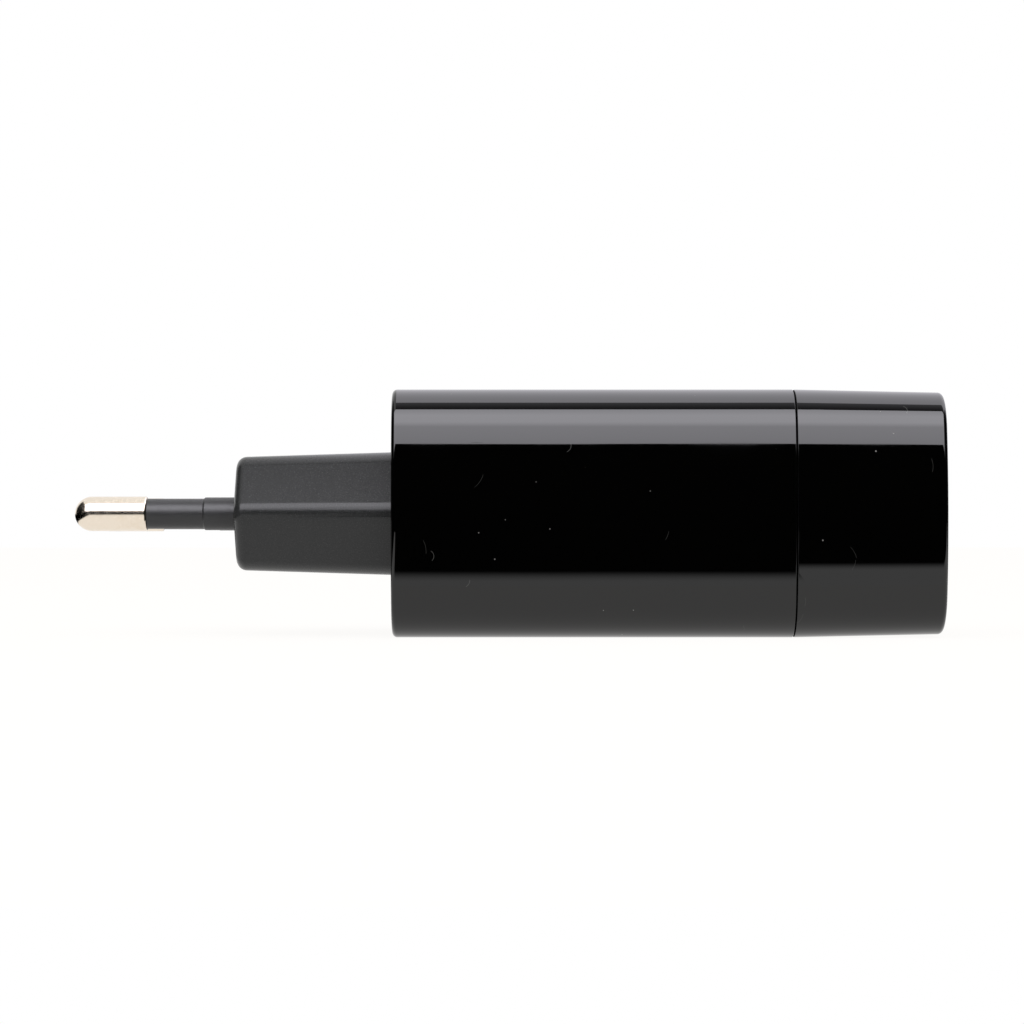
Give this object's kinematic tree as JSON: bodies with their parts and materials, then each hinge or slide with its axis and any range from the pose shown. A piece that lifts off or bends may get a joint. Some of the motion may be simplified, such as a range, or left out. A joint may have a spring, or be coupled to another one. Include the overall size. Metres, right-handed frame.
{
  "type": "usb wall charger",
  "caption": "Slim block charger with a flat two-pin mains plug at one end and stacked USB type A ports in a separate cap at the other.",
  "frame": {"origin": "centre of the plug engagement face, midway between the two pins", "axes": "+X from the pins towards the USB ports, +Y from pin to pin, +Z across the thin side of the body"},
  "size_m": [0.0996, 0.043, 0.0282],
  "materials": {
    "board_laminate": "green solder-masked laminate",
    "can_bare": "bare aluminium can",
    "can_sleeve": "heat-shrunk sleeve over an aluminium can",
    "component_black": "moulded epoxy",
    "component_blue": "dipped epoxy coating",
    "component_cream": "moulded epoxy",
    "component_green": "lacquered ceramic",
    "contact_brass": "stamped spring brass",
    "ferrite": "sintered ferrite",
    "glossy_shell": "piano-black moulded polycarbonate, mirror polished",
    "insulating_film": "translucent polyester film",
    "matte_plug": "fine-textured charcoal nylon",
    "pin_plating": "nickel-plated brass, warm tint, polished",
    "port_steel": "nickel-plated steel",
    "white_insulator": "plain moulded nylon",
    "winding_copper": "enamelled copper wire",
    "winding_tape": "yellow polyester tape"
  },
  "bodies": {
    "charger": {"board_header": "component_black", "bridge_rectifier": "component_black", "bulk_capacitor_1": "can_sleeve", "bulk_capacitor_2": "can_sleeve", "controller_chip": "component_black", "filter_inductor": "ferrite", "fusible_resistor": "component_green", "insulating_sheet": "insulating_film", "live_contact": "contact_brass", "main_board": "board_laminate", "main_housing": "glossy_shell", "neutral_contact": "contact_brass", "optocoupler": "component_cream", "output_board": "board_laminate", "output_capacitor_1": "can_bare", "output_capacitor_2": "can_bare", "output_choke": "ferrite", "output_rectifier": "component_black", "pin_left": "pin_plating", "pin_retainer": "white_insulator", "pin_right": "pin_plating", "pin_sleeve_left": "matte_plug", "pin_sleeve_right": "matte_plug", "plug_nose": "matte_plug", "port_cap": "glossy_shell", "transformer_bobbin": "component_black", "transformer_core_left": "ferrite", "transformer_core_right": "ferrite", "transformer_tape": "winding_tape", "transformer_winding": "winding_copper", "usb_shell_lower": "port_steel", "usb_shell_upper": "port_steel", "usb_tongue_lower": "white_insulator", "usb_tongue_upper": "white_insulator", "varistor": "component_blue", "y_capacitor": "component_blue"},
    "upper_terminals": {"usb_terminal_data_minus_upper": "contact_brass", "usb_terminal_data_plus_upper": "contact_brass", "usb_terminal_ground_upper": "contact_brass", "usb_terminal_vbus_upper": "contact_brass"},
    "lower_terminals": {"usb_terminal_data_minus_lower": "contact_brass", "usb_terminal_data_plus_lower": "contact_brass", "usb_terminal_ground_lower": "contact_brass", "usb_terminal_vbus_lower": "contact_brass"}
  },
  "joints": [
    {"name": "upper_terminals_flex", "type": "hinge", "parent": "charger", "child": "upper_terminals", "pos_m": [0.0702, 0, 0.00602], "axis": [0, -1, 0], "range_deg": [0, 3], "stiffness_Nm_per_rad": 0.25},
    {"name": "lower_terminals_flex", "type": "hinge", "parent": "charger", "child": "lower_terminals", "pos_m": [0.0702, 0, -0.00498], "axis": [0, -1, 0], "range_deg": [0, 3], "stiffness_Nm_per_rad": 0.25}
  ]
}
